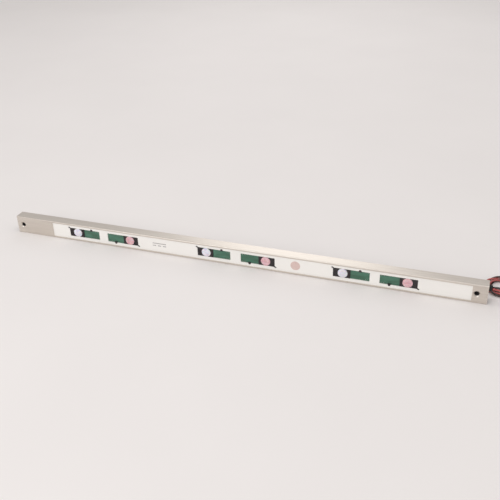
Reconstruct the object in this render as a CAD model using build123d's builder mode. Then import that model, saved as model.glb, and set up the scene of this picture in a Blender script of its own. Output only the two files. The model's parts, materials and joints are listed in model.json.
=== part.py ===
"""A slim low-voltage LED batten: a metal tube with a long front slot, a white strip behind the
slot, six lamp modules in its windows, and a two-wire lead folded into a hank at one end.

Millimetres. +X runs along the bar towards the lead, the windows face -Y, +Z is up, and the
origin is at the bottom centre of the bar.
"""

import os
from math import pi, radians, tan

from build123d import *

# ---------------------------------------------------------------- housing
bar_length = 510.0
bar_depth = 12.0
bar_height = 20.0
wall = 1.0
corner_radius = 0.8
slot_left_margin = 45.3
slot_right_margin = 14.2
slot_bottom_lip = 1.5
slot_top_lip = 2.0
slot_corner_radius = 0.4

# mounting holes, each right through the bar from front to back
mount_hole_radius = 1.7
mount_sink_radius = 3.3
mount_sink_angle = 90.0
mount_left_inset = 7.0
mount_right_inset = 10.0

# ---------------------------------------------------------------- front strip and its windows
strip_thickness = 1.0
strip_overlap = 1.2
strip_clearance = 0.15
window_length = 36.5
window_radius = 0.5
window_clearance = 0.15
first_pair_inset = 63.15
last_pair_inset = 91.25
middle_pair_shift = 4.55
window_gaps = [10.1, 11.3, 9.7]

# ---------------------------------------------------------------- lamp modules
lens_diameter = 9.8
lens_wall = 0.7
lens_rim = 0.65
lens_setback = 0.05
lens_seat_gap = 0.05
holder_end_land = 4.6
holder_inner_land = 2.65
holder_base = 0.4
holder_land_height = 0.6
rib_height = 0.25
rib_width = 0.5
rib_pitch = 1.15
ear_length = 2.6
ear_width = 1.4
ear_root = 0.7
ear_angle = 150.0
latch_width = 3.4
latch_reach = 1.35
latch_foot = 1.0
latch_angle = 70.0
latch_height = 0.9
latch_from_lens_end = 27.0
led_size = 3.5
led_height = 0.8
led_window_radius = 1.4
led_window_depth = 0.25
board_thickness = 1.0
board_overlap = 2.8
board_edge_margin = 1.2
board_radius = 0.6

# parts on the back of each module board
wire_diameter = 1.9
wire_clearance = 0.08
wire_gap = 0.1
wire_spacing = 6.0
terminal_length = 9.0
terminal_depth = 4.8
terminal_side = 3.0
terminal_from_centre = 8.0
pad_length = 30.0
pad_height = 9.0
chip_size = 3.0
chip_height = 0.9
chip_from_centre = 6.0
resistor_length = 1.6
resistor_width = 0.8
resistor_height = 0.5
resistor_pitch = 2.4
resistor_count = 3

# ---------------------------------------------------------------- driver, behind the left metal stretch
driver_from_strip = 2.0
driver_from_block = 1.6
driver_pad_thickness = 1.5
driver_pad_margin = 2.0
inductor_radius = 3.6
inductor_height = 4.5
inductor_core_radius = 1.9
inductor_flange = 0.7
inductor_margin = 1.0
inductor_rise = 2.6
winding_inset = 0.4
capacitor_radius = 3.15
capacitor_height = 4.3
capacitor_foot = 0.9
capacitor_gap = 0.8
driver_terminal_length = 6.0
driver_terminal_depth = 4.2
driver_chip_length = 4.9
driver_chip_width = 3.9
driver_chip_height = 1.5
driver_chip_side_margin = 1.5
driver_chip_low_margin = 0.8
wire_strip_depth = 4.0

# ---------------------------------------------------------------- the two wires inside the bar
bus_wire_names = ["bus_wire_red", "bus_wire_black"]
bus_wire_sides = [-1, 1]
bus_bend_starts = [10.0, 4.0]
bus_bend_length = 22.0
bus_bend_radius = 12.0

# ---------------------------------------------------------------- end blocks, screws, grommet
block_length = 18.0
block_inset = 0.5
block_clearance = 0.1
screw_radius = 0.95
screw_clearance = 0.04
screw_head_radius = 1.9
screw_head_height = 0.9
screw_length = 4.2
screw_socket_radius = 0.65
screw_socket_depth = 0.5
screw_from_bottom = 4.6
screw_outer_inset = 3.6
screw_inner_inset = 14.4
passage_web = 0.9
grommet_wall = 0.55
grommet_clearance = 0.02
grommet_flange_radius = 3.3
grommet_flange = 1.3
grommet_collar = 2.2
grommet_collar_radius = 2.75

# ---------------------------------------------------------------- lead, hank and plug
# the lead's straight start and its way down are measured from the bar's right end
lead_straight = 15.0
lead_drop_points = [(29.0, 2.2, 9.6), (43.0, 6.2, 3.6)]
lead_corner_share = 0.45
hank_height = 9.0
hank_length = 97.0
hank_start = -5.0
hank_lobe = 34.0
hank_near_width = 37.0
hank_far_width = 42.0
hank_waist = 12.6
hank_mid_y = 27.0
hank_far_drop = 7.0
hank_corner = 12.0
hank_shoulder = 3.0
tie_width = 3.4
tie_thickness = 1.2
tie_head_length = 5.0
tie_head_width = 4.6
tie_head_height = 3.6
tie_head_corner = 0.6
tie_head_shift = 3.15
plug_length = 14.0
plug_width = 8.4
plug_height = 6.0
plug_cavity = 2.3
plug_cavity_pitch = 3.6
plug_cavity_depth = 9.0
plug_corner = 0.5
plug_rail = 0.7
plug_rail_length = 7.0
plug_rail_middle = 5.6
pin_size = 0.8
pin_length = 7.0

# ---------------------------------------------------------------- worked out from the sizes above
left_end = -bar_length / 2
right_end = bar_length / 2
front_y = -bar_depth / 2
back_y = bar_depth / 2
front_inside = front_y + wall
back_inside = back_y - wall
inside_height = bar_height - 2 * wall
mid_z = bar_height / 2

slot_left = left_end + slot_left_margin
slot_right = right_end - slot_right_margin
slot_length = slot_right - slot_left
slot_height = bar_height - slot_bottom_lip - slot_top_lip
slot_mid_z = slot_bottom_lip + slot_height / 2

strip_left = slot_left - strip_overlap
strip_right = slot_right + strip_overlap
strip_back = front_inside + strip_thickness
strip_height = inside_height - 2 * strip_clearance

lens_radius = lens_diameter / 2
window_height = lens_diameter + 2 * window_clearance
lens_seat_radius = lens_radius + lens_seat_gap
holder_length = holder_end_land + 2 * lens_seat_radius + holder_inner_land
holder_width = window_height - 2 * window_clearance
lens_bore = lens_radius - lens_wall
dome_top = strip_back - holder_base - front_y - lens_setback
dome_inside = dome_top - lens_wall
rim_inside = lens_rim / 2
lens_end_x = -window_length / 2
holder_left = lens_end_x + window_clearance
lens_x = holder_left + holder_end_land + lens_seat_radius
latch_x = lens_end_x + latch_from_lens_end
board_length = window_length + 2 * board_overlap
board_height = inside_height - 2 * board_edge_margin
board_front = strip_back
board_back = board_front + board_thickness
terminal_back = board_back + terminal_depth
wire_y = board_back + terminal_depth / 2
wire_zs = [slot_mid_z + wire_spacing / 2, slot_mid_z - wire_spacing / 2]

first_pair_x = slot_left + first_pair_inset
last_pair_x = slot_right - last_pair_inset
middle_pair_x = (first_pair_x + last_pair_x) / 2 + middle_pair_shift
modules = []
for pair_x, gap in zip([first_pair_x, middle_pair_x, last_pair_x], window_gaps):
    half_step = (window_length + gap) / 2
    modules.append((pair_x - half_step, False))
    modules.append((pair_x + half_step, True))

driver_right = strip_left - driver_from_strip
driver_left = left_end + block_inset + block_length + driver_from_block
driver_length = driver_right - driver_left
driver_mid = (driver_left + driver_right) / 2
driver_back = back_inside - driver_pad_thickness
driver_front = driver_back - board_thickness
wire_end_x = driver_right - wire_strip_depth

lead_diameter = 2 * (wire_diameter + wire_gap)
mount_xs = [left_end + mount_left_inset, right_end - mount_right_inset]
block_height = inside_height - 2 * block_clearance
grommet_radius = lead_diameter / 2 + grommet_wall
passage_radius = grommet_radius + grommet_clearance
passage_z = mid_z + mount_hole_radius + passage_web + passage_radius
block_outer = right_end - block_inset
block_inner = block_outer - block_length
lead_start = block_outer + grommet_flange + grommet_collar
screw_xs = [
    left_end + screw_outer_inset + block_inset,
    left_end + screw_inner_inset + block_inset,
    right_end - screw_inner_inset - block_inset,
    right_end - screw_outer_inset - block_inset,
]

hank_near_x = right_end + hank_start
hank_far_x = hank_near_x + hank_length
near_shoulder_x = hank_near_x + hank_lobe
far_shoulder_x = hank_far_x - hank_lobe
hank_far_y = hank_mid_y - hank_far_drop
tie_x = (near_shoulder_x + far_shoulder_x) / 2

os.makedirs("parts", exist_ok=True)


def facing_front(y, x=0.0, z=0.0, turned=False):
    """A plane at depth y whose normal points out of the windows; a turned one is upside down."""
    return Plane(origin=(x, y, z), x_dir=(-1 if turned else 1, 0, 0), z_dir=(0, -1, 0))


def facing_back(y, x=0.0, z=0.0):
    """A plane at depth y whose normal points out of the bar's back."""
    return Plane(origin=(x, y, z), x_dir=(-1, 0, 0), z_dir=(0, 1, 0))


def ear_outline(grow=0.0):
    """The ear at a holder's outer corner, drawn from the middle of its window."""
    with Locations((lens_end_x + ear_root, window_height / 2 - ear_root)):
        SlotOverall(2 * ear_length + 2 * grow, ear_width + 2 * grow, rotation=ear_angle)


def latch_outline(grow=0.0):
    """The latch on a module's long edge, drawn from the middle of its window."""
    with Locations((latch_x, window_height / 2 - latch_foot)):
        Trapezoid(
            latch_width + 2 * grow,
            latch_foot + latch_reach + grow,
            latch_angle,
            align=(Align.CENTER, Align.MIN),
        )


# ================================================================ housing
with BuildPart() as housing:
    with BuildSketch(Plane.YZ.offset(left_end)) as tube_section:
        with Locations((0, mid_z)):
            RectangleRounded(bar_depth, bar_height, corner_radius)
            Rectangle(bar_depth - 2 * wall, inside_height, mode=Mode.SUBTRACT)
    extrude(amount=bar_length)
    with BuildSketch(facing_front(front_y, (slot_left + slot_right) / 2, slot_mid_z)) as slot:
        RectangleRounded(slot_length, slot_height, slot_corner_radius)
    extrude(amount=-wall, mode=Mode.SUBTRACT)
    with Locations(*[facing_front(front_y, x, mid_z) for x in mount_xs]):
        CounterSinkHole(mount_hole_radius, mount_sink_radius, counter_sink_angle=mount_sink_angle)
    with Locations(*[facing_back(back_y, x, screw_from_bottom) for x in screw_xs]):
        CounterSinkHole(
            screw_radius + screw_clearance,
            screw_head_radius + screw_clearance,
            depth=wall,
            counter_sink_angle=mount_sink_angle,
        )
housing.part.label = "housing"
export_step(housing.part, "parts/housing.step")

# ================================================================ front strip
with BuildPart() as front_strip:
    with BuildSketch(facing_front(strip_back, (strip_left + strip_right) / 2, mid_z)):
        Rectangle(strip_right - strip_left, strip_height)
    extrude(amount=strip_thickness)
    for centre_x, turned in modules:
        with BuildSketch(facing_front(strip_back, centre_x, slot_mid_z, turned)) as window:
            RectangleRounded(window_length, window_height, window_radius)
            ear_outline(window_clearance)
            latch_outline(window_clearance)
        extrude(amount=strip_thickness, mode=Mode.SUBTRACT)
front_strip.part.label = "front_strip"
export_step(front_strip.part, "parts/front_strip.step")

# ================================================================ lamp modules
for number, (centre_x, turned) in enumerate(modules, start=1):
    name = f"module_{number}"

    with BuildPart() as board:
        with BuildSketch(facing_front(board_back, centre_x, mid_z, turned)):
            RectangleRounded(board_length, board_height, board_radius)
        extrude(amount=board_thickness)
    board.part.label = f"{name}_board"
    export_step(board.part, f"parts/{name}_board.step")

    with BuildPart() as holder:
        with BuildSketch(facing_front(board_front, centre_x, slot_mid_z, turned)):
            with Locations((holder_left + holder_length / 2, 0)):
                Rectangle(holder_length, holder_width)
            ear_outline()
        extrude(amount=holder_base)
        with BuildSketch(facing_front(board_front - holder_base, centre_x, slot_mid_z, turned)):
            with Locations((holder_left + holder_length / 2, 0)):
                Rectangle(holder_length, holder_width)
            ear_outline()
            with Locations((lens_x, 0)):
                Circle(lens_seat_radius, mode=Mode.SUBTRACT)
        extrude(amount=holder_land_height - holder_base)
        with BuildSketch(facing_front(board_front - holder_land_height, centre_x, slot_mid_z, turned)):
            for land_left, land_length in (
                (holder_left, holder_end_land),
                (holder_left + holder_length - holder_inner_land, holder_inner_land),
            ):
                with Locations((land_left + land_length / 2, 0)):
                    with GridLocations(rib_pitch, 1, int(land_length / rib_pitch), 1):
                        Rectangle(rib_width, holder_width)
        extrude(amount=rib_height)
        with BuildSketch(facing_front(board_front, centre_x, slot_mid_z, turned)):
            with Locations((lens_x, 0)):
                Rectangle(led_size + 2 * lens_seat_gap, led_size + 2 * lens_seat_gap)
        extrude(amount=holder_base, mode=Mode.SUBTRACT)
    holder.part.label = f"{name}_holder"
    export_step(holder.part, f"parts/{name}_holder.step")

    seat = facing_front(board_front - holder_base, centre_x, slot_mid_z, turned)
    lens_centre = seat.from_local_coords((lens_x, 0, 0))
    with BuildPart() as lens:
        with BuildSketch(Plane(origin=lens_centre, x_dir=(1, 0, 0), z_dir=(0, 0, -1))):
            with BuildLine():
                Line((0, dome_top), (0, dome_inside))
                TangentArc((0, dome_inside), (lens_bore, rim_inside), tangent=(1, 0))
                Line((lens_bore, rim_inside), (lens_bore, 0))
                Line((lens_bore, 0), (lens_radius, 0))
                Line((lens_radius, 0), (lens_radius, lens_rim))
                TangentArc((0, dome_top), (lens_radius, lens_rim), tangent=(1, 0))
            make_face()
        revolve(axis=Axis(lens_centre, (0, 1, 0)))
    lens.part.label = f"{name}_lens"
    export_step(lens.part, f"parts/{name}_lens.step")

    with BuildPart() as led:
        with BuildSketch(facing_front(board_front, centre_x, slot_mid_z, turned)):
            with Locations((lens_x, 0)):
                Rectangle(led_size, led_size)
        extrude(amount=led_height)
        with BuildSketch(facing_front(board_front - led_height, centre_x, slot_mid_z, turned)):
            with Locations((lens_x, 0)):
                Circle(led_window_radius)
        extrude(amount=-led_window_depth, mode=Mode.SUBTRACT)
    led.part.label = f"{name}_led"
    export_step(led.part, f"parts/{name}_led.step")

    with BuildPart() as circuit:
        with BuildSketch(facing_front(board_back, centre_x, slot_mid_z, turned)):
            with Locations((-chip_from_centre, 0)):
                Rectangle(chip_size, chip_size)
        extrude(amount=-chip_height)
        with BuildSketch(facing_front(board_back, centre_x, slot_mid_z, turned)):
            with Locations((-2 * chip_from_centre, 0)):
                with GridLocations(1, resistor_pitch, 1, resistor_count):
                    Rectangle(resistor_length, resistor_width)
        extrude(amount=-resistor_height)
    circuit.part.label = f"{name}_circuit"
    export_step(circuit.part, f"parts/{name}_circuit.step")

# ================================================================ what every module has one of
with BuildPart() as board_latches:
    for centre_x, turned in modules:
        with BuildSketch(facing_front(board_front, centre_x, slot_mid_z, turned)):
            latch_outline()
        extrude(amount=latch_height)
board_latches.part.label = "board_latches"
export_step(board_latches.part, "parts/board_latches.step")

with BuildPart() as wire_terminals:
    for centre_x, turned in modules:
        side = -1 if turned else 1
        block_x = centre_x + side * terminal_from_centre
        with BuildSketch(facing_back(board_back, block_x, slot_mid_z)):
            Rectangle(terminal_length, wire_spacing + 2 * terminal_side)
        extrude(amount=terminal_depth)
    with BuildSketch(Plane.YZ.offset(left_end)):
        with Locations(*[(wire_y, wire_z) for wire_z in wire_zs]):
            Circle(wire_diameter / 2 + wire_clearance)
    extrude(amount=bar_length, mode=Mode.SUBTRACT)
wire_terminals.part.label = "wire_terminals"
export_step(wire_terminals.part, "parts/wire_terminals.step")

with BuildPart() as module_pads:
    for centre_x, turned in modules:
        with BuildSketch(facing_back(terminal_back, centre_x, slot_mid_z)):
            Rectangle(pad_length, pad_height)
        extrude(amount=back_inside - terminal_back)
module_pads.part.label = "module_pads"
export_step(module_pads.part, "parts/module_pads.step")

# ================================================================ driver
with BuildPart() as driver_pad:
    with BuildSketch(facing_back(driver_back, driver_mid, mid_z)):
        Rectangle(driver_length - 2 * driver_pad_margin, board_height - 2 * driver_pad_margin)
    extrude(amount=driver_pad_thickness)
driver_pad.part.label = "driver_pad"
export_step(driver_pad.part, "parts/driver_pad.step")

with BuildPart() as driver_board:
    with BuildSketch(facing_back(driver_front, driver_mid, mid_z)):
        RectangleRounded(driver_length, board_height, board_radius)
    extrude(amount=board_thickness)
driver_board.part.label = "driver_board"
export_step(driver_board.part, "parts/driver_board.step")

inductor_x = driver_left + inductor_radius + inductor_margin
inductor_z = mid_z + inductor_rise
with BuildPart() as driver_inductor:
    with BuildSketch(facing_front(driver_front, inductor_x, inductor_z)):
        Circle(inductor_radius)
    extrude(amount=inductor_flange)
    with BuildSketch(facing_front(driver_front, inductor_x, inductor_z)):
        Circle(inductor_core_radius)
    extrude(amount=inductor_height)
    with BuildSketch(facing_front(driver_front - inductor_height, inductor_x, inductor_z)):
        Circle(inductor_radius)
    extrude(amount=-inductor_flange)
driver_inductor.part.label = "driver_inductor"
export_step(driver_inductor.part, "parts/driver_inductor.step")

with BuildPart() as inductor_winding:
    with BuildSketch(facing_front(driver_front - inductor_flange, inductor_x, inductor_z)):
        Circle(inductor_radius - winding_inset)
        Circle(inductor_core_radius, mode=Mode.SUBTRACT)
    extrude(amount=inductor_height - 2 * inductor_flange)
inductor_winding.part.label = "inductor_winding"
export_step(inductor_winding.part, "parts/inductor_winding.step")

capacitor_x = inductor_x + inductor_radius + capacitor_gap + capacitor_radius
with BuildPart() as driver_capacitor:
    with BuildSketch(facing_front(driver_front, capacitor_x, inductor_z)):
        Rectangle(2 * capacitor_radius, 2 * capacitor_radius)
    extrude(amount=capacitor_foot)
    with BuildSketch(facing_front(driver_front - capacitor_foot, capacitor_x, inductor_z)):
        Circle(capacitor_radius)
    extrude(amount=capacitor_height - capacitor_foot)
driver_capacitor.part.label = "driver_capacitor"
export_step(driver_capacitor.part, "parts/driver_capacitor.step")

chip_x = driver_left + driver_chip_side_margin + driver_chip_length / 2
chip_z = mid_z - board_height / 2 + driver_chip_low_margin + driver_chip_width / 2
with BuildPart() as driver_chip:
    with BuildSketch(facing_front(driver_front, chip_x, chip_z)):
        Rectangle(driver_chip_length, driver_chip_width)
    extrude(amount=driver_chip_height)
driver_chip.part.label = "driver_chip"
export_step(driver_chip.part, "parts/driver_chip.step")

with BuildPart() as driver_terminal:
    with BuildSketch(Plane.YZ.offset(driver_right)):
        with Locations((driver_front - driver_terminal_depth / 2, slot_mid_z)):
            Rectangle(driver_terminal_depth, wire_spacing + 2 * terminal_side)
    extrude(amount=-driver_terminal_length)
    with BuildSketch(Plane.YZ.offset(driver_right)):
        with Locations(*[(wire_y, wire_z) for wire_z in wire_zs]):
            Circle(wire_diameter / 2 + wire_clearance)
    extrude(amount=-wire_strip_depth, mode=Mode.SUBTRACT)
driver_terminal.part.label = "driver_terminal"
export_step(driver_terminal.part, "parts/driver_terminal.step")

# ================================================================ wires inside the bar
bus_wires = zip(bus_wire_names, bus_wire_sides, bus_bend_starts, wire_zs)
for name, side, bend_start, wire_z in bus_wires:
    side_y = side * (wire_diameter + wire_gap) / 2
    route = [
        (lead_start, side_y, passage_z),
        (block_inner - bend_start, side_y, passage_z),
        (block_inner - bend_start - bus_bend_length, wire_y, wire_z),
        (wire_end_x, wire_y, wire_z),
    ]
    with BuildPart() as bus_wire:
        with BuildLine() as wire_path:
            FilletPolyline(*route, radius=bus_bend_radius)
        with BuildSketch(Plane(origin=route[0], z_dir=(-1, 0, 0))):
            Circle(wire_diameter / 2)
        sweep(path=wire_path.line)
    bus_wire.part.label = name
    export_step(bus_wire.part, f"parts/{name}.step")

# ================================================================ end blocks
with BuildPart() as end_block_left:
    with BuildSketch(Plane.YZ.offset(left_end + block_inset)):
        with Locations((0, mid_z)):
            Rectangle(back_inside - front_inside, block_height)
    extrude(amount=block_length)
    with Locations(facing_front(front_y, mount_xs[0], mid_z)):
        CounterSinkHole(mount_hole_radius, mount_sink_radius, counter_sink_angle=mount_sink_angle)
    with Locations(*[facing_back(back_inside, x, screw_from_bottom) for x in screw_xs[:2]]):
        Hole(screw_radius + screw_clearance, depth=screw_length)
end_block_left.part.label = "end_block_left"
export_step(end_block_left.part, "parts/end_block_left.step")

with BuildPart() as end_block_right:
    with BuildSketch(Plane.YZ.offset(block_outer)):
        with Locations((0, mid_z)):
            Rectangle(back_inside - front_inside, block_height)
    extrude(amount=-block_length)
    with BuildSketch(facing_front(front_inside, block_inner, mid_z)):
        Rectangle(2 * (strip_right + strip_clearance - block_inner), bar_height)
    extrude(amount=-strip_thickness, mode=Mode.SUBTRACT)
    with Locations(facing_front(front_y, mount_xs[1], mid_z)):
        CounterSinkHole(mount_hole_radius, mount_sink_radius, counter_sink_angle=mount_sink_angle)
    with Locations(*[facing_back(back_inside, x, screw_from_bottom) for x in screw_xs[2:]]):
        Hole(screw_radius + screw_clearance, depth=screw_length)
    with Locations(Plane(origin=(block_outer, 0, passage_z), z_dir=(1, 0, 0))):
        Hole(passage_radius)
end_block_right.part.label = "end_block_right"
export_step(end_block_right.part, "parts/end_block_right.step")

with BuildPart() as end_screws:
    for x in screw_xs:
        with BuildSketch(facing_back(back_y, x, screw_from_bottom)):
            Circle(screw_head_radius)
        extrude(amount=-screw_head_height, taper=mount_sink_angle / 2)
        with BuildSketch(facing_back(back_y, x, screw_from_bottom)):
            Circle(screw_radius)
        extrude(amount=-screw_length)
        with BuildSketch(facing_back(back_y, x, screw_from_bottom)):
            RegularPolygon(screw_socket_radius, 6)
        extrude(amount=-screw_socket_depth, mode=Mode.SUBTRACT)
end_screws.part.label = "end_screws"
export_step(end_screws.part, "parts/end_screws.step")

with BuildPart() as cable_grommet:
    with BuildSketch(Plane.YZ.offset(block_inner)):
        with Locations((0, passage_z)):
            Circle(grommet_radius)
    extrude(amount=block_length)
    with BuildSketch(Plane.YZ.offset(block_outer)):
        with Locations((0, passage_z)):
            Circle(grommet_flange_radius)
    extrude(amount=grommet_flange)
    with BuildSketch(Plane.YZ.offset(block_outer + grommet_flange)):
        with Locations((0, passage_z)):
            Circle(grommet_collar_radius)
    extrude(amount=grommet_collar)
    with BuildSketch(Plane.YZ.offset(block_inner)):
        with Locations((0, passage_z)):
            Circle(lead_diameter / 2)
    extrude(amount=lead_start - block_inner, mode=Mode.SUBTRACT)
cable_grommet.part.label = "cable_grommet"
export_step(cable_grommet.part, "parts/cable_grommet.step")

# ================================================================ lead
lead_route = [
    (lead_start, 0.0, passage_z),
    (right_end + lead_straight, 0.0, passage_z),
]
for ahead, route_y, route_z in lead_drop_points:
    lead_route.append((right_end + ahead, route_y, route_z))
lead_route.append((far_shoulder_x, route_y, route_z))


def corner_radii(points):
    """The widest arc at each corner, using the corner share of the shorter of its two runs."""
    corners = zip(points, points[1:], points[2:])
    radii = []
    for before, corner, after in corners:
        arriving = Vector(*corner) - Vector(*before)
        leaving = Vector(*after) - Vector(*corner)
        half_turn = radians(arriving.get_angle(leaving)) / 2
        radii.append(lead_corner_share * min(arriving.length, leaving.length) / tan(half_turn))
    return radii


lead_radii = corner_radii(lead_route)
with BuildPart() as lead_wire:
    with BuildLine() as lead_path:
        FilletPolyline(*lead_route, radius=lead_radii)
    with BuildSketch(Plane(origin=lead_route[0], z_dir=(1, 0, 0))):
        Circle(lead_diameter / 2)
    sweep(path=lead_path.line)
lead_wire.part.label = "lead_wire"
export_step(lead_wire.part, "parts/lead_wire.step")
print("lead arc radii", [round(radius, 1) for radius in lead_radii])
lead_expected = pi * (lead_diameter / 2) ** 2 * lead_path.wire().length
print("lead volume", round(lead_wire.part.volume, 1))
print("its section times its length", round(lead_expected, 1))

# ================================================================ hank, its tie and the plug
near_low_y = hank_mid_y - hank_near_width / 2
near_high_y = hank_mid_y + hank_near_width / 2
far_low_y = hank_far_y - hank_far_width / 2
far_high_y = hank_far_y + hank_far_width / 2
waist_low_y = hank_mid_y - hank_waist / 2
waist_high_y = hank_mid_y + hank_waist / 2
end_corners = [
    (hank_near_x, near_low_y),
    (hank_near_x, near_high_y),
    (hank_far_x, far_high_y),
    (hank_far_x, far_low_y),
]
shoulder_corners = [
    (near_shoulder_x, near_low_y),
    (near_shoulder_x, near_high_y),
    (far_shoulder_x, far_high_y),
    (far_shoulder_x, far_low_y),
]
with BuildPart() as lead_hank:
    with BuildSketch() as hank_plan:
        with BuildLine():
            Polyline(
                end_corners[0],
                end_corners[1],
                shoulder_corners[1],
                (near_shoulder_x, waist_high_y),
                (far_shoulder_x, waist_high_y),
                shoulder_corners[2],
                end_corners[2],
                end_corners[3],
                shoulder_corners[3],
                (far_shoulder_x, waist_low_y),
                (near_shoulder_x, waist_low_y),
                shoulder_corners[0],
                close=True,
            )
        make_face()
        corners = hank_plan.vertices()
        fillet(corners.filter_by(lambda v: (v.X, v.Y) in end_corners), hank_corner)
        corners = hank_plan.vertices()
        fillet(corners.filter_by(lambda v: (v.X, v.Y) in shoulder_corners), hank_shoulder)
    extrude(amount=hank_height)
    with BuildSketch(Plane.YZ.offset(tie_x - tie_width / 2)):
        with Locations((hank_mid_y, tie_thickness / 2)):
            Rectangle(2 * hank_waist, tie_thickness)
    extrude(amount=tie_width, mode=Mode.SUBTRACT)
lead_hank.part.label = "lead_hank"
export_step(lead_hank.part, "parts/lead_hank.step")

with BuildPart() as hank_tie:
    with BuildSketch(Plane.YZ.offset(tie_x - tie_width / 2)):
        with Locations((hank_mid_y, (hank_height + tie_thickness) / 2)):
            RectangleRounded(
                hank_waist + 2 * tie_thickness, hank_height + tie_thickness, tie_thickness
            )
        with Locations((hank_mid_y, (hank_height + tie_thickness) / 2)):
            Rectangle(hank_waist, hank_height - tie_thickness, mode=Mode.SUBTRACT)
    extrude(amount=tie_width)
    with BuildSketch(Plane.XY.offset(hank_height + tie_thickness)):
        with Locations((tie_x, hank_mid_y - tie_head_shift)):
            RectangleRounded(tie_head_width, tie_head_length, tie_head_corner)
    extrude(amount=tie_head_height - tie_thickness)
hank_tie.part.label = "hank_tie"
export_step(hank_tie.part, "parts/hank_tie.step")

cavity_ys = [hank_far_y - plug_cavity_pitch / 2, hank_far_y + plug_cavity_pitch / 2]
with BuildPart() as lead_plug:
    with BuildSketch(Plane.YZ.offset(hank_far_x)):
        with Locations((hank_far_y, plug_height / 2)):
            RectangleRounded(plug_width, plug_height, plug_corner)
    extrude(amount=plug_length)
    with BuildSketch(Plane.YZ.offset(hank_far_x + plug_length)):
        with Locations(*[(y, plug_height / 2) for y in cavity_ys]):
            Rectangle(plug_cavity, plug_cavity)
    extrude(amount=-plug_cavity_depth, mode=Mode.SUBTRACT)
    with BuildSketch(Plane.XY.offset(plug_height)):
        with Locations((hank_far_x + plug_rail_middle, hank_far_y)):
            Rectangle(plug_rail_length, plug_cavity)
    extrude(amount=plug_rail)
lead_plug.part.label = "lead_plug"
export_step(lead_plug.part, "parts/lead_plug.step")

with BuildPart() as plug_pins:
    with BuildSketch(Plane.YZ.offset(hank_far_x + plug_length - plug_cavity_depth)):
        with Locations(*[(y, plug_height / 2) for y in cavity_ys]):
            Rectangle(pin_size, pin_size)
    extrude(amount=pin_length)
plug_pins.part.label = "plug_pins"
export_step(plug_pins.part, "parts/plug_pins.step")
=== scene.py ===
"""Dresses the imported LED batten: its lead, its finishes, its printed marks and the stage."""

import json
import math

import bmesh
import bpy
from mathutils import Matrix, Vector


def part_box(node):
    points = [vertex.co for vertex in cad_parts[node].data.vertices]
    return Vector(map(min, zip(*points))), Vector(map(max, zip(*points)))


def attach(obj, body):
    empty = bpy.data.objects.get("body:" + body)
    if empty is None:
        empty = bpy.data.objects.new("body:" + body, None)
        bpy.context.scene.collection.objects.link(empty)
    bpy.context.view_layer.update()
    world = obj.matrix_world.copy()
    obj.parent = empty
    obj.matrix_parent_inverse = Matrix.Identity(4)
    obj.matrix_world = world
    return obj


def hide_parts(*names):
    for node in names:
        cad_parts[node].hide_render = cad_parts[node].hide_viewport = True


bl_info = {
    "name": "Low-voltage LED batten",
    "version": (1, 0, 0),
    "blender": (4, 5, 0),
    "location": "3D View > Sidebar > Batten",
    "description": "Finishes, lead, printed marks and stage for a slim LED batten",
    "category": "Object",
}

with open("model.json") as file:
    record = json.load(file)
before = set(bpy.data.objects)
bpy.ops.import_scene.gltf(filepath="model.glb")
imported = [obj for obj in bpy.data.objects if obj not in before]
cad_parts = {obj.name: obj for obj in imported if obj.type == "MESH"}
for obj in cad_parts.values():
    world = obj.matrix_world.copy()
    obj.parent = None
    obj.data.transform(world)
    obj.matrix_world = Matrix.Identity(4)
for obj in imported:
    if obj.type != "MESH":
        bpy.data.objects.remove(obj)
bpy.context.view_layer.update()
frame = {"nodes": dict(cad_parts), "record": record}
strip_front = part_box("front_strip")[0][1]
module_numbers = range(1, 7)


def linear(hex_colour):
    """An sRGB hex colour as linear red, green and blue."""
    parts = [int(hex_colour[i : i + 2], 16) / 255 for i in (1, 3, 5)]
    return tuple(c / 12.92 if c <= 0.04045 else ((c + 0.055) / 1.055) ** 2.4 for c in parts)


def add_node(tree, kind, settings=None, inputs=None, links=None):
    """Adds one node, sets its properties and inputs, and links outputs into its inputs."""
    node = tree.nodes.new(kind)
    for name, value in (settings or {}).items():
        setattr(node, name, value)
    for name, value in (inputs or {}).items():
        node.inputs[name].default_value = value
    for name, output in (links or {}).items():
        tree.links.new(output, node.inputs[name])
    return node


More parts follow.
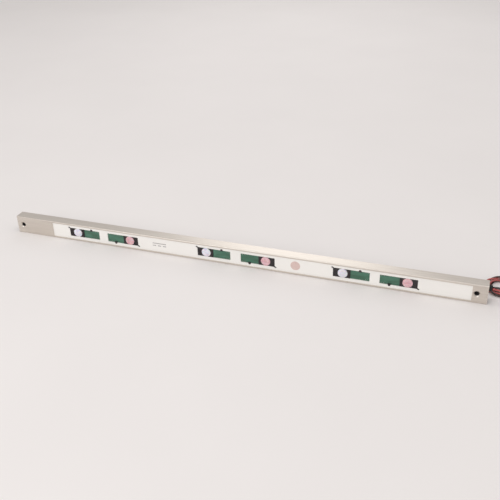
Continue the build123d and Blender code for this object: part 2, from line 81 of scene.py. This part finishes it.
# ---------------------------------------------------------------- finishes
def patterned(
    name,
    dark,
    light,
    roughness,
    patch,
    grain,
    bump,
    stretch=(1, 1, 1),
    spread=0.08,
    cells=False,
    **shader_values,
):
    """A finish from two linear colours in soft patches, over a grain of a size and depth in metres."""
    material = bpy.data.materials.new(name)
    material.use_nodes = True
    tree = material.node_tree
    tree.nodes.clear()
    place = add_node(tree, "ShaderNodeTexCoord")
    along = add_node(
        tree,
        "ShaderNodeMapping",
        inputs={"Scale": stretch},
        links={"Vector": place.outputs["Object"]},
    )
    patches = add_node(
        tree,
        "ShaderNodeTexNoise",
        inputs={"Scale": 1 / patch, "Detail": 3.0},
        links={"Vector": along.outputs["Vector"]},
    )
    colour = add_node(tree, "ShaderNodeValToRGB", links={"Fac": patches.outputs["Fac"]})
    colour.color_ramp.elements[0].position = 0.35
    colour.color_ramp.elements[0].color = (*dark, 1)
    colour.color_ramp.elements[1].position = 0.65
    colour.color_ramp.elements[1].color = (*light, 1)
    kind = "ShaderNodeTexVoronoi" if cells else "ShaderNodeTexNoise"
    fine = add_node(tree, kind, inputs={"Scale": 1 / grain}, links={"Vector": along.outputs["Vector"]})
    height = fine.outputs["Distance" if cells else "Fac"]
    shine = add_node(
        tree,
        "ShaderNodeMapRange",
        inputs={"To Min": roughness - spread, "To Max": roughness + spread},
        links={"Value": patches.outputs["Fac"]},
    )
    relief = add_node(
        tree,
        "ShaderNodeBump",
        inputs={"Strength": 0.5, "Distance": bump},
        links={"Height": height},
    )
    shader = add_node(
        tree,
        "ShaderNodeBsdfPrincipled",
        inputs=shader_values,
        links={
            "Base Color": colour.outputs["Color"],
            "Roughness": shine.outputs["Result"],
            "Normal": relief.outputs["Normal"],
        },
    )
    add_node(tree, "ShaderNodeOutputMaterial", links={"Surface": shader.outputs["BSDF"]})
    return material


# Each slot of the record: the finish's name, its darker and its lighter colour, its roughness, the
# size of its patches, the size of its grain and the depth of its grain in metres, and what else it sets.
coated = {"Coat Weight": 0.25, "Coat Roughness": 0.1}
milky = {"Subsurface Weight": 0.2, "Subsurface Scale": 0.001}
along_bar = {"stretch": (0.02, 1, 1), "spread": 0.05}
finish_table = {
    # extruded aluminium, etched and clear anodised: soft sheen with faint lines along the bar
    "housing_metal": (
        "anodised_aluminium_extruded", "#d6cec5", "#ded7ce", 0.36, 0.0015, 0.0002, 0.000004,
        {**along_bar, "Metallic": 0.92},
    ),
    # extruded white PVC: nearly even white with a dull gloss
    "strip_white": (
        "white_pvc_extruded", "#f5f3ef", "#f9f7f3", 0.42, 0.02, 0.0006, 0.000006,
        {"stretch": (0.2, 1, 1), "IOR": 1.53},
    ),
    # moulded black ABS with a fine spark-eroded grain
    "black_moulding": (
        "black_abs_moulded", "#231f21", "#312b2d", 0.5, 0.004, 0.0003, 0.00002, {"IOR": 1.53},
    ),
    # epoxy glass board under green solder resist: glossy, darker where no copper backs it
    "board_green": (
        "solder_resist_printed", "#36614c", "#437560", 0.32, 0.006, 0.0005, 0.000008,
        {"stretch": (0.5, 1, 1.6), "IOR": 1.5, "Coat Weight": 0.3, "Coat Roughness": 0.15},
    ),
    # opal polycarbonate, moulded: milky, with light carried under the skin
    "lens_white": (
        "opal_polycarbonate_moulded", "#dedbe8", "#f0eef6", 0.22, 0.003, 0.0004, 0.000004,
        {"IOR": 1.58, **milky},
    ),
    # red-tinted opal polycarbonate: pink and milky when it isn't lit
    "lens_red": (
        "tinted_polycarbonate_moulded", "#d9a9b0", "#ebc6cb", 0.22, 0.003, 0.0004, 0.000004,
        {"IOR": 1.58, **milky},
    ),
    # sintered ceramic lamp body with yellow phosphor
    "led_ceramic": (
        "ceramic_sintered", "#e0d68a", "#efe9b4", 0.45, 0.001, 0.0002, 0.00001, {"IOR": 1.6},
    ),
    # moulded epoxy of chips, matt from its mould
    "chip_black": ("epoxy_chip_moulded", "#1b1b1d", "#27272a", 0.55, 0.001, 0.0002, 0.00001, {}),
    # natural nylon, injection moulded: warm white and slightly waxy
    "white_nylon": (
        "natural_nylon_moulded", "#ded9cb", "#ebe7db", 0.4, 0.004, 0.0004, 0.00001,
        {"IOR": 1.53, "Subsurface Weight": 0.1, "Subsurface Scale": 0.001},
    ),
    # closed-cell rubber foam, cut: matt, with open cells on its cut faces
    "foam_pad": ("rubber_foam_cut", "#1d1d1d", "#2e2e2e", 0.9, 0.003, 0.0006, 0.0001, {"cells": True}),
    # pressed and fired ferrite: dark grey with a fine grain
    "ferrite_black": ("ferrite_fired", "#26262a", "#35353a", 0.6, 0.001, 0.0002, 0.00002, {}),
    # enamelled copper wire, wound: fine level turns round the core
    "copper_winding": (
        "enamelled_copper_wound", "#9c5a30", "#c9804c", 0.3, 0.0006, 0.0003, 0.00008,
        {"stretch": (0.05, 1, 0.05), "Metallic": 1.0},
    ),
    # drawn aluminium can of a capacitor
    "capacitor_can": (
        "aluminium_can_drawn", "#c6c7c9", "#d9dadc", 0.28, 0.001, 0.0002, 0.000004, {"Metallic": 1.0},
    ),
    # moulded black rubber, dull and a little dusty
    "grommet_rubber": ("rubber_moulded", "#181717", "#2a2827", 0.75, 0.002, 0.0003, 0.00003, {}),
    # zinc-plated steel screws, turned and pressed
    "screw_steel": (
        "zinc_plated_steel", "#a7a8a8", "#c2c2c0", 0.3, 0.001, 0.0002, 0.000006, {"Metallic": 1.0},
    ),
    # smooth PVC insulation in dull red, extruded: glossy
    "wire_red": (
        "red_pvc_extruded", "#a3403f", "#bf5c57", 0.2, 0.006, 0.0006, 0.000006, {"IOR": 1.53, **coated},
    ),
    # smooth PVC insulation in brown-black, extruded: glossy
    "wire_black": (
        "black_pvc_extruded", "#241512", "#38221d", 0.22, 0.006, 0.0006, 0.000006, {"IOR": 1.53, **coated},
    ),
    # white nylon tie, moulded
    "tie_nylon": (
        "white_nylon_moulded", "#dcdad4", "#eae8e3", 0.4, 0.003, 0.0003, 0.00001, {"IOR": 1.53},
    ),
    # tin-plated brass pins: bright and slightly grey
    "pin_tin": (
        "tin_plated_brass", "#bdbbb4", "#d0cec8", 0.25, 0.001, 0.0002, 0.000004, {"Metallic": 1.0},
    ),
}
finishes = {}
for slot_name, (name, dark, light, *grain_values, extra) in finish_table.items():
    finishes[slot_name] = patterned(name, linear(dark), linear(light), *grain_values, **extra)


# ---------------------------------------------------------------- sizes and colours a user may change
class BattenLead(bpy.types.PropertyGroup):
    wire_diameter: bpy.props.FloatProperty(
        name="Wire diameter",
        description="Across one insulated wire",
        default=0.0019,
        unit="LENGTH",
        precision=5,
    )
    wire_gap: bpy.props.FloatProperty(
        name="Wire gap",
        description="Room between the two wires of the pair",
        default=0.0001,
        unit="LENGTH",
        precision=5,
    )
    twist_pitch: bpy.props.FloatProperty(
        name="Twist pitch",
        description="Length in which the two wires turn once round each other",
        default=0.034,
        unit="LENGTH",
        precision=4,
    )
    sides: bpy.props.IntProperty(
        name="Sides", description="Faces round one wire", default=14, min=6, max=32
    )


class BattenMarks(bpy.types.PropertyGroup):
    thickness: bpy.props.FloatProperty(
        name="Ink thickness",
        description="How far the ink stands on the strip",
        default=0.00004,
        unit="LENGTH",
        precision=6,
    )
    disc_radius: bpy.props.FloatProperty(
        name="Disc radius",
        description="Radius of the pale printed disc",
        default=0.005,
        unit="LENGTH",
        precision=4,
    )
    disc_colour: bpy.props.FloatVectorProperty(
        name="Disc colour",
        description="Ink of the disc",
        subtype="COLOR",
        default=linear("#d8c0ba"),
        min=0,
        max=1,
    )
    ink_colour: bpy.props.FloatVectorProperty(
        name="Line colour",
        description="Ink of the current mark",
        subtype="COLOR",
        default=linear("#aaa7a6"),
        min=0,
        max=1,
    )


class BattenStage(bpy.types.PropertyGroup):
    lens: bpy.props.FloatProperty(
        name="Lens", description="Focal length in millimetres", default=51.55, unit="CAMERA"
    )
    floor_colour: bpy.props.FloatVectorProperty(
        name="Floor colour",
        description="Colour of the pale floor",
        subtype="COLOR",
        default=linear("#f1edeb"),
        min=0,
        max=1,
    )
    floor_mottle: bpy.props.FloatVectorProperty(
        name="Floor mottle",
        description="Colour of the faint patches on the floor",
        subtype="COLOR",
        default=linear("#f3efed"),
        min=0,
        max=1,
    )
    softbox_power: bpy.props.FloatProperty(
        name="Softbox power",
        description="Power of the light behind the bar",
        default=1.7,
        unit="POWER",
    )
    overhead_power: bpy.props.FloatProperty(
        name="Overhead power",
        description="Power of the light above the bar",
        default=3.4,
        unit="POWER",
    )
    front_power: bpy.props.FloatProperty(
        name="Front power",
        description="Power of the light in front of the bar, on its left",
        default=7.5,
        unit="POWER",
    )
    sky_strength: bpy.props.FloatProperty(
        name="Room light", description="Strength of the even light from all round", default=0.66
    )


# ---------------------------------------------------------------- the lead
lead_route = [
    (0.2580, 0.0000, 0.01517),
    (0.2700, 0.0000, 0.01517),
    (0.2840, 0.0022, 0.0096),
    (0.2980, 0.0062, 0.0036),
    (0.3130, 0.0062, 0.0036),
]
hank_centre = {"near": (0.2687, 0.0270), "far": (0.3210, 0.0200)}
loop_radii = {"near": [0.0162, 0.0121], "far": [0.0180, 0.0138]}
loop_height = 0.0021
loop_step = 30
# the loops' control points stand out by this half step, so that the line itself has the radius
loop_stand_out = math.cos(math.radians(11))
far_waist_x, near_waist_x = 0.3040, 0.2930
far_mouth, near_mouth_x = (0.3120, 0.0115, 0.0026), 0.2835
waist_slots = {"out": [(0.0311, 0.0033), (0.0270, 0.0033)], "back": [(0.0229, 0.0033), (0.0255, 0.0070)]}
plug_run = [
    (0.3060, 0.0250, 0.0068),
    (0.3140, 0.0235, 0.0054),
    (0.3220, 0.0220, 0.0046),
    (0.3290, 0.0210, 0.0056),
    (0.3345, 0.0203, 0.0067),
    (0.3395, 0.0200, 0.0067),
    (0.3450, 0.0200, 0.0036),
    (0.3485, 0.0200, 0.0030),
]


def loop_points(side, turn, first_angle):
    """Half a circle of control points, anticlockwise from an angle, at one end of the hank."""
    centre_x, centre_y = hank_centre[side]
    reach = loop_radii[side][turn] / loop_stand_out
    angles = [math.radians(a) for a in range(first_angle, first_angle + 181, loop_step)]
    return [(centre_x + reach * math.cos(a), centre_y + reach * math.sin(a), loop_height) for a in angles]


def hank_points():
    """Control points of the folds: round the far end, through the tie, round the near end and back."""
    points = []
    last_turn = len(loop_radii["far"]) - 1
    for turn in range(last_turn + 1):
        points += loop_points("far", turn, -90)
        y, z = waist_slots["out"][turn]
        far_edge = hank_centre["far"][1] + loop_radii["far"][turn]
        near_edge = hank_centre["near"][1] + loop_radii["near"][turn]
        mouth_y = (y + 2 * far_edge) / 3 + 0.001
        points += [(0.3115, mouth_y, 0.0026), (far_waist_x, y, z), (near_waist_x, y, z)]
        points.append((near_mouth_x, (2 * y + near_edge) / 3, 0.0027))
        points += loop_points("near", turn, 90)
        y, z = waist_slots["back"][turn]
        near_edge = hank_centre["near"][1] - loop_radii["near"][turn]
        points.append((near_mouth_x, (2 * y + near_edge) / 3, (loop_height + z) / 2))
        points.append((near_waist_x, y, z))
        if turn < last_turn:
            points += [(far_waist_x, y, z), far_mouth]
    return points


def smooth_line(points):
    """Points along the NURBS line that has these control points."""
    curve = bpy.data.curves.new("lead_line", "CURVE")
    curve.dimensions = "3D"
    curve.resolution_u = 10
    spline = curve.splines.new("NURBS")
    spline.points.add(len(points) - 1)
    for point, place in zip(spline.points, points):
        point.co = (*place, 1)
    spline.order_u = 3
    spline.use_endpoint_u = True
    holder = bpy.data.objects.new("lead_line", curve)
    bpy.context.scene.collection.objects.link(holder)
    ready = bpy.context.evaluated_depsgraph_get()
    mesh = bpy.data.meshes.new_from_object(holder.evaluated_get(ready))
    line = [v.co.copy() for v in mesh.vertices]
    bpy.data.objects.remove(holder)
    bpy.data.meshes.remove(mesh)
    return line


def add_piece(name, mesh_maker, materials):
    """A new object from bmesh code, riding on the batten."""
    mesh = bpy.data.meshes.new(name)
    shape = bmesh.new()
    mesh_maker(shape)
    bmesh.ops.recalc_face_normals(shape, faces=shape.faces)
    shape.to_mesh(mesh)
    shape.free()
    piece = bpy.data.objects.new(name, mesh)
    bpy.context.scene.collection.objects.link(piece)
    for material in materials:
        mesh.materials.append(material)
    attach(piece, "root")
    return piece


class BATTEN_OT_lead(bpy.types.Operator):
    """Makes the twisted two-wire lead, folded in its hank"""

    bl_idname = "batten.lead"
    bl_label = "Lead"

    def execute(self, context):
        sizes = context.scene.batten_lead
        line = smooth_line(lead_route + hank_points() + plug_run)
        radius = sizes.wire_diameter / 2
        spacing = radius + sizes.wire_gap / 2
        rings = []
        normal, travelled = Vector((0, -1, 0)), 0.0
        for index, here in enumerate(line):
            ahead = line[min(index + 1, len(line) - 1)] - line[max(index - 1, 0)]
            ahead.normalize()
            normal = (normal - ahead * normal.dot(ahead)).normalized()
            if index:
                travelled += (here - line[index - 1]).length
            rings.append((here, normal, ahead.cross(normal), math.tau * travelled / sizes.twist_pitch))

        def wires(shape):
            for side in (0, 1):
                loops = []
                for here, across, up, angle in rings:
                    turn = angle + math.pi * side
                    middle = here + spacing * (across * math.cos(turn) + up * math.sin(turn))
                    loop = []
                    for k in range(sizes.sides):
                        a = math.tau * k / sizes.sides
                        outward = across * math.cos(a) + up * math.sin(a)
                        loop.append(shape.verts.new(middle + radius * outward))
                    loops.append(loop)
                for first, second in zip(loops, loops[1:]):
                    for k in range(sizes.sides):
                        face = shape.faces.new((first[k], first[k - 1], second[k - 1], second[k]))
                        face.smooth = True
                        face.material_index = side
                for loop in (loops[0], loops[-1]):
                    shape.faces.new(loop).material_index = side

        insulation = [finishes["wire_red"], finishes["wire_black"]]
        lead = add_piece("lead_pair", wires, insulation)
        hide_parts("lead_wire", "lead_hank")
        return {"FINISHED"}


# ---------------------------------------------------------------- small repeated parts
# solder points, as distances from the middle of a module and from the middle of its window
solder_radius = 0.00035
solder_places = [(0.0165, 0.0038), (0.0165, -0.0038), (0.0140, -0.0038), (0.0140, 0.0038)]
# ratchet teeth on the outside of the tie's band
tooth_size = (0.0022, 0.0002, 0.0003)
tooth_count = 9
tooth_pitch = 0.0007
tooth_stand = 0.00005
first_tooth_z = 0.0022


def repeat_tree(name, shape_kind, shape_sizes):
    """A node tree that puts one small shape on every point of a mesh."""
    tree = bpy.data.node_groups.new(name, "GeometryNodeTree")
    tree.interface.new_socket("Points", in_out="INPUT", socket_type="NodeSocketGeometry")
    sockets = {}
    for label, value in shape_sizes.items():
        kind = "NodeSocketVector" if isinstance(value, tuple) else "NodeSocketFloat"
        sockets[label] = tree.interface.new_socket(label, in_out="INPUT", socket_type=kind)
    sockets["Material"] = tree.interface.new_socket(
        "Material", in_out="INPUT", socket_type="NodeSocketMaterial"
    )
    tree.interface.new_socket("Shape", in_out="OUTPUT", socket_type="NodeSocketGeometry")
    entry = add_node(tree, "NodeGroupInput")
    unit = add_node(tree, shape_kind, links={label: entry.outputs[label] for label in shape_sizes})
    placed = add_node(
        tree,
        "GeometryNodeInstanceOnPoints",
        links={"Points": entry.outputs["Points"], "Instance": unit.outputs["Mesh"]},
    )
    real = add_node(tree, "GeometryNodeRealizeInstances", links={"Geometry": placed.outputs["Instances"]})
    painted = add_node(
        tree,
        "GeometryNodeSetMaterial",
        links={"Geometry": real.outputs["Geometry"], "Material": entry.outputs["Material"]},
    )
    add_node(tree, "NodeGroupOutput", links={"Shape": painted.outputs["Geometry"]})
    return tree, sockets


def repeat(name, points, shape_kind, shape_sizes, slot):
    """One plain mesh of a small shape repeated at points, riding on the batten."""
    tree, sockets = repeat_tree(name, shape_kind, shape_sizes)
    seeds = bpy.data.meshes.new(name + "_points")
    seeds.from_pydata(points, [], [])
    maker = bpy.data.objects.new(name + "_points", seeds)
    bpy.context.scene.collection.objects.link(maker)
    modifier = maker.modifiers.new("repeat", "NODES")
    modifier.node_group = tree
    for label, value in {**shape_sizes, "Material": finishes[slot]}.items():
        modifier[sockets[label].identifier] = value
    ready = bpy.context.evaluated_depsgraph_get()
    mesh = bpy.data.meshes.new_from_object(maker.evaluated_get(ready))
    maker.modifiers.remove(modifier)
    bpy.data.objects.remove(maker)
    mesh.name = name
    piece = bpy.data.objects.new(name, mesh)
    bpy.context.scene.collection.objects.link(piece)
    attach(piece, "root")
    return piece


class BATTEN_OT_solder_points(bpy.types.Operator):
    """Puts the small soldered joints on the green of every module board"""

    bl_idname = "batten.solder_points"
    bl_label = "Solder points"

    def execute(self, context):
        points = []
        for number in module_numbers:
            low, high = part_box(f"module_{number}_board")
            lens_low, lens_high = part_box(f"module_{number}_lens")
            centre = (low[0] + high[0]) / 2
            away = 1 if (lens_low[0] + lens_high[0]) / 2 < centre else -1
            middle_z = (lens_low[2] + lens_high[2]) / 2
            for along, up in solder_places:
                points.append((centre + away * along, low[1], middle_z + up))
        ball = {"Radius": solder_radius}
        repeat("solder_points", points, "GeometryNodeMeshUVSphere", ball, "pin_tin")
        return {"FINISHED"}


class BATTEN_OT_tie_teeth(bpy.types.Operator):
    """Puts the ratchet teeth on the band of the hank's tie"""

    bl_idname = "batten.tie_teeth"
    bl_label = "Tie teeth"

    def execute(self, context):
        low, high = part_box("hank_tie")
        middle_x = (low[0] + high[0]) / 2
        points = []
        for step in range(tooth_count):
            points.append((middle_x, high[1] + tooth_stand, first_tooth_z + tooth_pitch * step))
        repeat("tie_teeth", points, "GeometryNodeMeshCube", {"Size": tooth_size}, "tie_nylon")
        return {"FINISHED"}


# ---------------------------------------------------------------- printed marks
# the current mark is one line over three dashes
stroke = 0.0010
line_left, line_right, line_bottom = -0.0876, -0.0720, 0.0110
dash_lefts = (-0.0876, -0.0818, -0.0760)
dash_length, dash_bottom = 0.0040, 0.0083
disc_centre = (0.0698, 0.0100)


def ink(name, colour):
    """Screen-printed ink: matt, slightly uneven where it lies thinner."""
    thin = [min(1, 1.12 * part) for part in colour]
    return patterned(name, colour, thin, 0.6, 0.0008, 0.0002, 0.000004)


def slab(shape, left, right, bottom, top, thickness):
    """A thin plate of ink on the strip."""
    size = Matrix.Diagonal((right - left, thickness, top - bottom, 1))
    place = Matrix.Translation(((left + right) / 2, strip_front - thickness / 2, (bottom + top) / 2))
    bmesh.ops.create_cube(shape, size=1, matrix=place @ size)


class BATTEN_OT_marks(bpy.types.Operator):
    """Prints the direct-current mark and the pale disc on the strip"""

    bl_idname = "batten.marks"
    bl_label = "Printed marks"

    def execute(self, context):
        sizes = context.scene.batten_marks

        def current_mark(shape):
            slab(shape, line_left, line_right, line_bottom, line_bottom + stroke, sizes.thickness)
            for left in dash_lefts:
                slab(shape, left, left + dash_length, dash_bottom, dash_bottom + stroke, sizes.thickness)

        def disc(shape):
            across, up = disc_centre
            place = Matrix.Translation((across, strip_front - sizes.thickness / 2, up))
            bmesh.ops.create_cone(
                shape,
                cap_ends=True,
                segments=64,
                radius1=sizes.disc_radius,
                radius2=sizes.disc_radius,
                depth=sizes.thickness,
                matrix=place @ Matrix.Rotation(math.pi / 2, 4, "X"),
            )

        grey = ink("grey_ink_printed", sizes.ink_colour)
        pale_red = ink("pale_red_ink_printed", sizes.disc_colour)
        add_piece("current_mark", current_mark, [grey])
        add_piece("printed_disc", disc, [pale_red])
        return {"FINISHED"}


class BATTEN_OT_finishes(bpy.types.Operator):
    """Gives every part of the batten the finish of its material slot"""

    bl_idname = "batten.finishes"
    bl_label = "Finishes"

    def execute(self, context):
        slots = {part["node"]: part["material_slot"] for part in frame["record"]["subparts"]}
        for node, piece in frame["nodes"].items():
            piece.data.materials.clear()
            piece.data.materials.append(finishes[slots[node]])
        return {"FINISHED"}


# ---------------------------------------------------------------- camera and stage
camera_place = (0.23228, -0.59714, 0.38434)
camera_right = (0.94671, 0.32116, -0.02412)
camera_up = (-0.14126, 0.48136, 0.86506)
floor_half_side = 8


class BATTEN_OT_camera(bpy.types.Operator):
    """Sets the camera in front of the bar's right half, looking down at it and to the left"""

    bl_idname = "batten.camera"
    bl_label = "Camera"

    def execute(self, context):
        camera = bpy.data.cameras.new("camera")
        camera.lens = context.scene.batten_stage.lens
        camera.sensor_width = 36
        camera.clip_start = 0.01
        holder = bpy.data.objects.new("camera", camera)
        context.scene.collection.objects.link(holder)
        back = Vector(camera_right).cross(Vector(camera_up))
        turn = Matrix((camera_right, camera_up, back)).transposed().to_4x4()
        holder.matrix_world = Matrix.Translation(camera_place) @ turn
        context.scene.camera = holder
        return {"FINISHED"}


class BATTEN_OT_stage(bpy.types.Operator):
    """Makes the pale floor, the even room light and the three soft lamps"""

    bl_idname = "batten.stage"
    bl_label = "Stage"

    def execute(self, context):
        values = context.scene.batten_stage
        mesh = bpy.data.meshes.new("floor")
        shape = bmesh.new()
        bmesh.ops.create_grid(shape, x_segments=8, y_segments=8, size=floor_half_side)
        shape.to_mesh(mesh)
        shape.free()
        floor = bpy.data.objects.new("floor", mesh)
        context.scene.collection.objects.link(floor)
        # painted board: flat and matt, with a very faint mottle
        paint = (values.floor_colour, values.floor_mottle, 0.8, 0.2, 0.002, 0.00001)
        mesh.materials.append(patterned("painted_board", *paint))

        world = bpy.data.worlds.new("room")
        context.scene.world = world
        world.use_nodes = True
        tree = world.node_tree
        tree.nodes.clear()
        room = add_node(
            tree,
            "ShaderNodeBackground",
            inputs={"Color": (*linear("#f7f4f3"), 1), "Strength": values.sky_strength},
        )
        add_node(tree, "ShaderNodeOutputWorld", links={"Surface": room.outputs["Background"]})

        lamps = (
            ("softbox", (-0.28, 1.25, 0.82), (0.03, 0, 0.02), (0.60, 0.70), values.softbox_power),
            ("overhead", (0.1, 0.1, 1.6), (0, 0, 0), (1.2, 1.2), values.overhead_power),
            ("front", (-0.45, -1.25, 0.85), (0, 0, 0.01), (1.0, 0.8), values.front_power),
        )
        for name, place, aim, size, power in lamps:
            light = bpy.data.lights.new(name, "AREA")
            light.shape = "RECTANGLE"
            light.size, light.size_y = size
            light.energy = power
            lamp = bpy.data.objects.new(name, light)
            context.scene.collection.objects.link(lamp)
            direction = Vector(aim) - Vector(place)
            turn = direction.to_track_quat("-Z", "Y").to_matrix().to_4x4()
            lamp.matrix_world = Matrix.Translation(place) @ turn
        context.scene.view_settings.view_transform = "Standard"
        return {"FINISHED"}


class BATTEN_PT_panel(bpy.types.Panel):
    """Lists the steps that dress the batten"""

    bl_idname = "BATTEN_PT_panel"
    bl_label = "LED batten"
    bl_space_type = "VIEW_3D"
    bl_region_type = "UI"
    bl_category = "Batten"

    def draw(self, context):
        for step in steps:
            self.layout.operator(step.bl_idname)
        scene = context.scene
        for group in (scene.batten_lead, scene.batten_marks, scene.batten_stage):
            for name in type(group).__annotations__:
                self.layout.prop(group, name)


steps = (
    BATTEN_OT_camera,
    BATTEN_OT_lead,
    BATTEN_OT_finishes,
    BATTEN_OT_solder_points,
    BATTEN_OT_tie_teeth,
    BATTEN_OT_marks,
    BATTEN_OT_stage,
)
groups = (BattenLead, BattenMarks, BattenStage)


def register():
    for cls in (*groups, *steps, BATTEN_PT_panel):
        bpy.utils.register_class(cls)
    bpy.types.Scene.batten_lead = bpy.props.PointerProperty(type=BattenLead)
    bpy.types.Scene.batten_marks = bpy.props.PointerProperty(type=BattenMarks)
    bpy.types.Scene.batten_stage = bpy.props.PointerProperty(type=BattenStage)


def unregister():
    for name in ("batten_lead", "batten_marks", "batten_stage"):
        delattr(bpy.types.Scene, name)
    for cls in reversed((*groups, *steps, BATTEN_PT_panel)):
        bpy.utils.unregister_class(cls)


def main():
    register()
    bpy.ops.batten.camera()
    bpy.ops.batten.lead()
    bpy.ops.batten.finishes()
    bpy.ops.batten.solder_points()
    bpy.ops.batten.tie_teeth()
    bpy.ops.batten.marks()
    bpy.ops.batten.stage()


if __name__ == "__main__":
    main()
